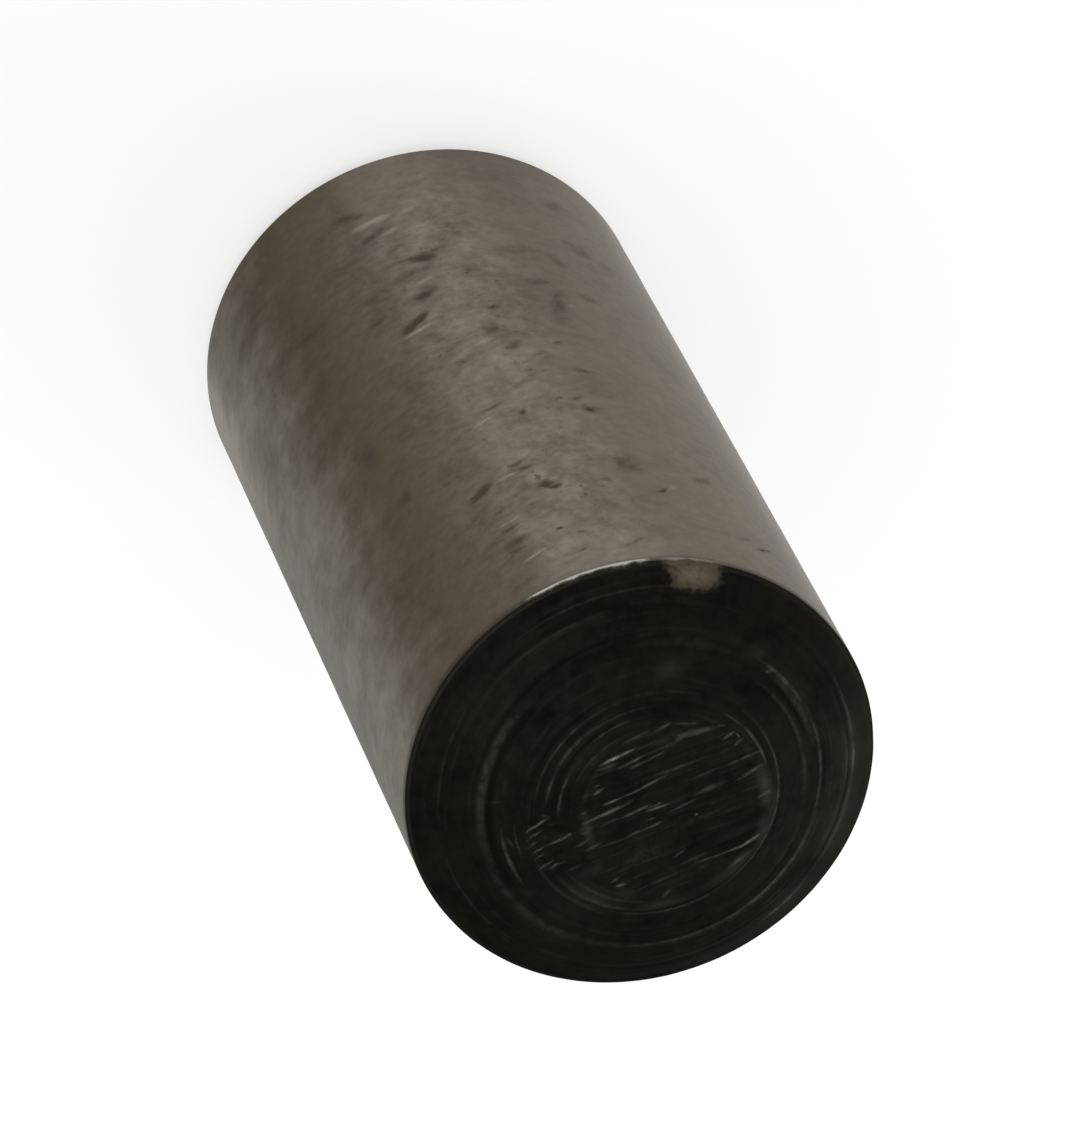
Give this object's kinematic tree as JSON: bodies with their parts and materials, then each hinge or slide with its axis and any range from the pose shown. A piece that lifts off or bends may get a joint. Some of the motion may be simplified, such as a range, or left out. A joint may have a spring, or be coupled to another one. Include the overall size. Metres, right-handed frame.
{
  "type": "dowel pin",
  "caption": "Solid parallel steel dowel pin with a ground cylindrical land, a flat chamfered foot and a turned, crowned end; pressed or slid into reamed holes to locate two parts.",
  "frame": {"origin": "centre of the flat foot face, which the pin stands on", "axes": "+Z along the pin's axis, from the foot to the crowned end"},
  "size_m": [0.01, 0.01, 0.0214],
  "materials": {
    "worn_steel": "ground land gone dull grey-brown with small pits, near-black turned and sawn crown"
  },
  "bodies": {
    "root": {"pin": "worn_steel"}
  },
  "joints": []
}
